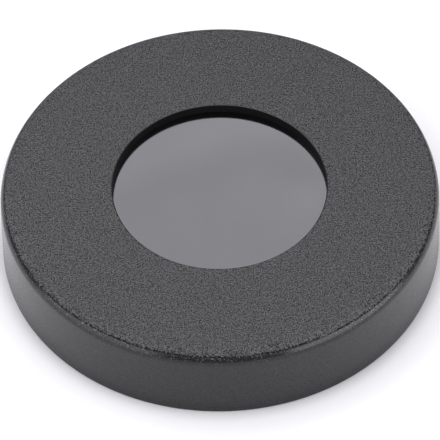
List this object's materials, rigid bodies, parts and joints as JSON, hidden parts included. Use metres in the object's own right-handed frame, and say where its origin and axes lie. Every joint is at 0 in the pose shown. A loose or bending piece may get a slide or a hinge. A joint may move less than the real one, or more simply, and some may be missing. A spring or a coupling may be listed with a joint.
{
  "type": "telescope solar filter",
  "caption": "Round slip-on cap with a felt-lined skirt and a mirror-like film behind a central window, which dims sunlight at the front of a small telescope.",
  "frame": {"origin": "centre of the open rim, in the plane that the cap stands on", "axes": "+Z along the cap's axis, out of the front face"},
  "size_m": [0.103, 0.103, 0.0194],
  "materials": {
    "cell_plastic": "fine moulded grain on the front, satin on the side",
    "coated_film": "aluminium-coated film, slightly wavy",
    "ring_plastic": "satin moulded",
    "screw_steel": "dark zinc plate",
    "felt": "black wool felt"
  },
  "bodies": {
    "root": {"filter_cell": "cell_plastic", "solar_film": "coated_film", "retaining_ring": "ring_plastic", "retaining_screws": "screw_steel", "felt_lining": "felt"}
  },
  "joints": []
}
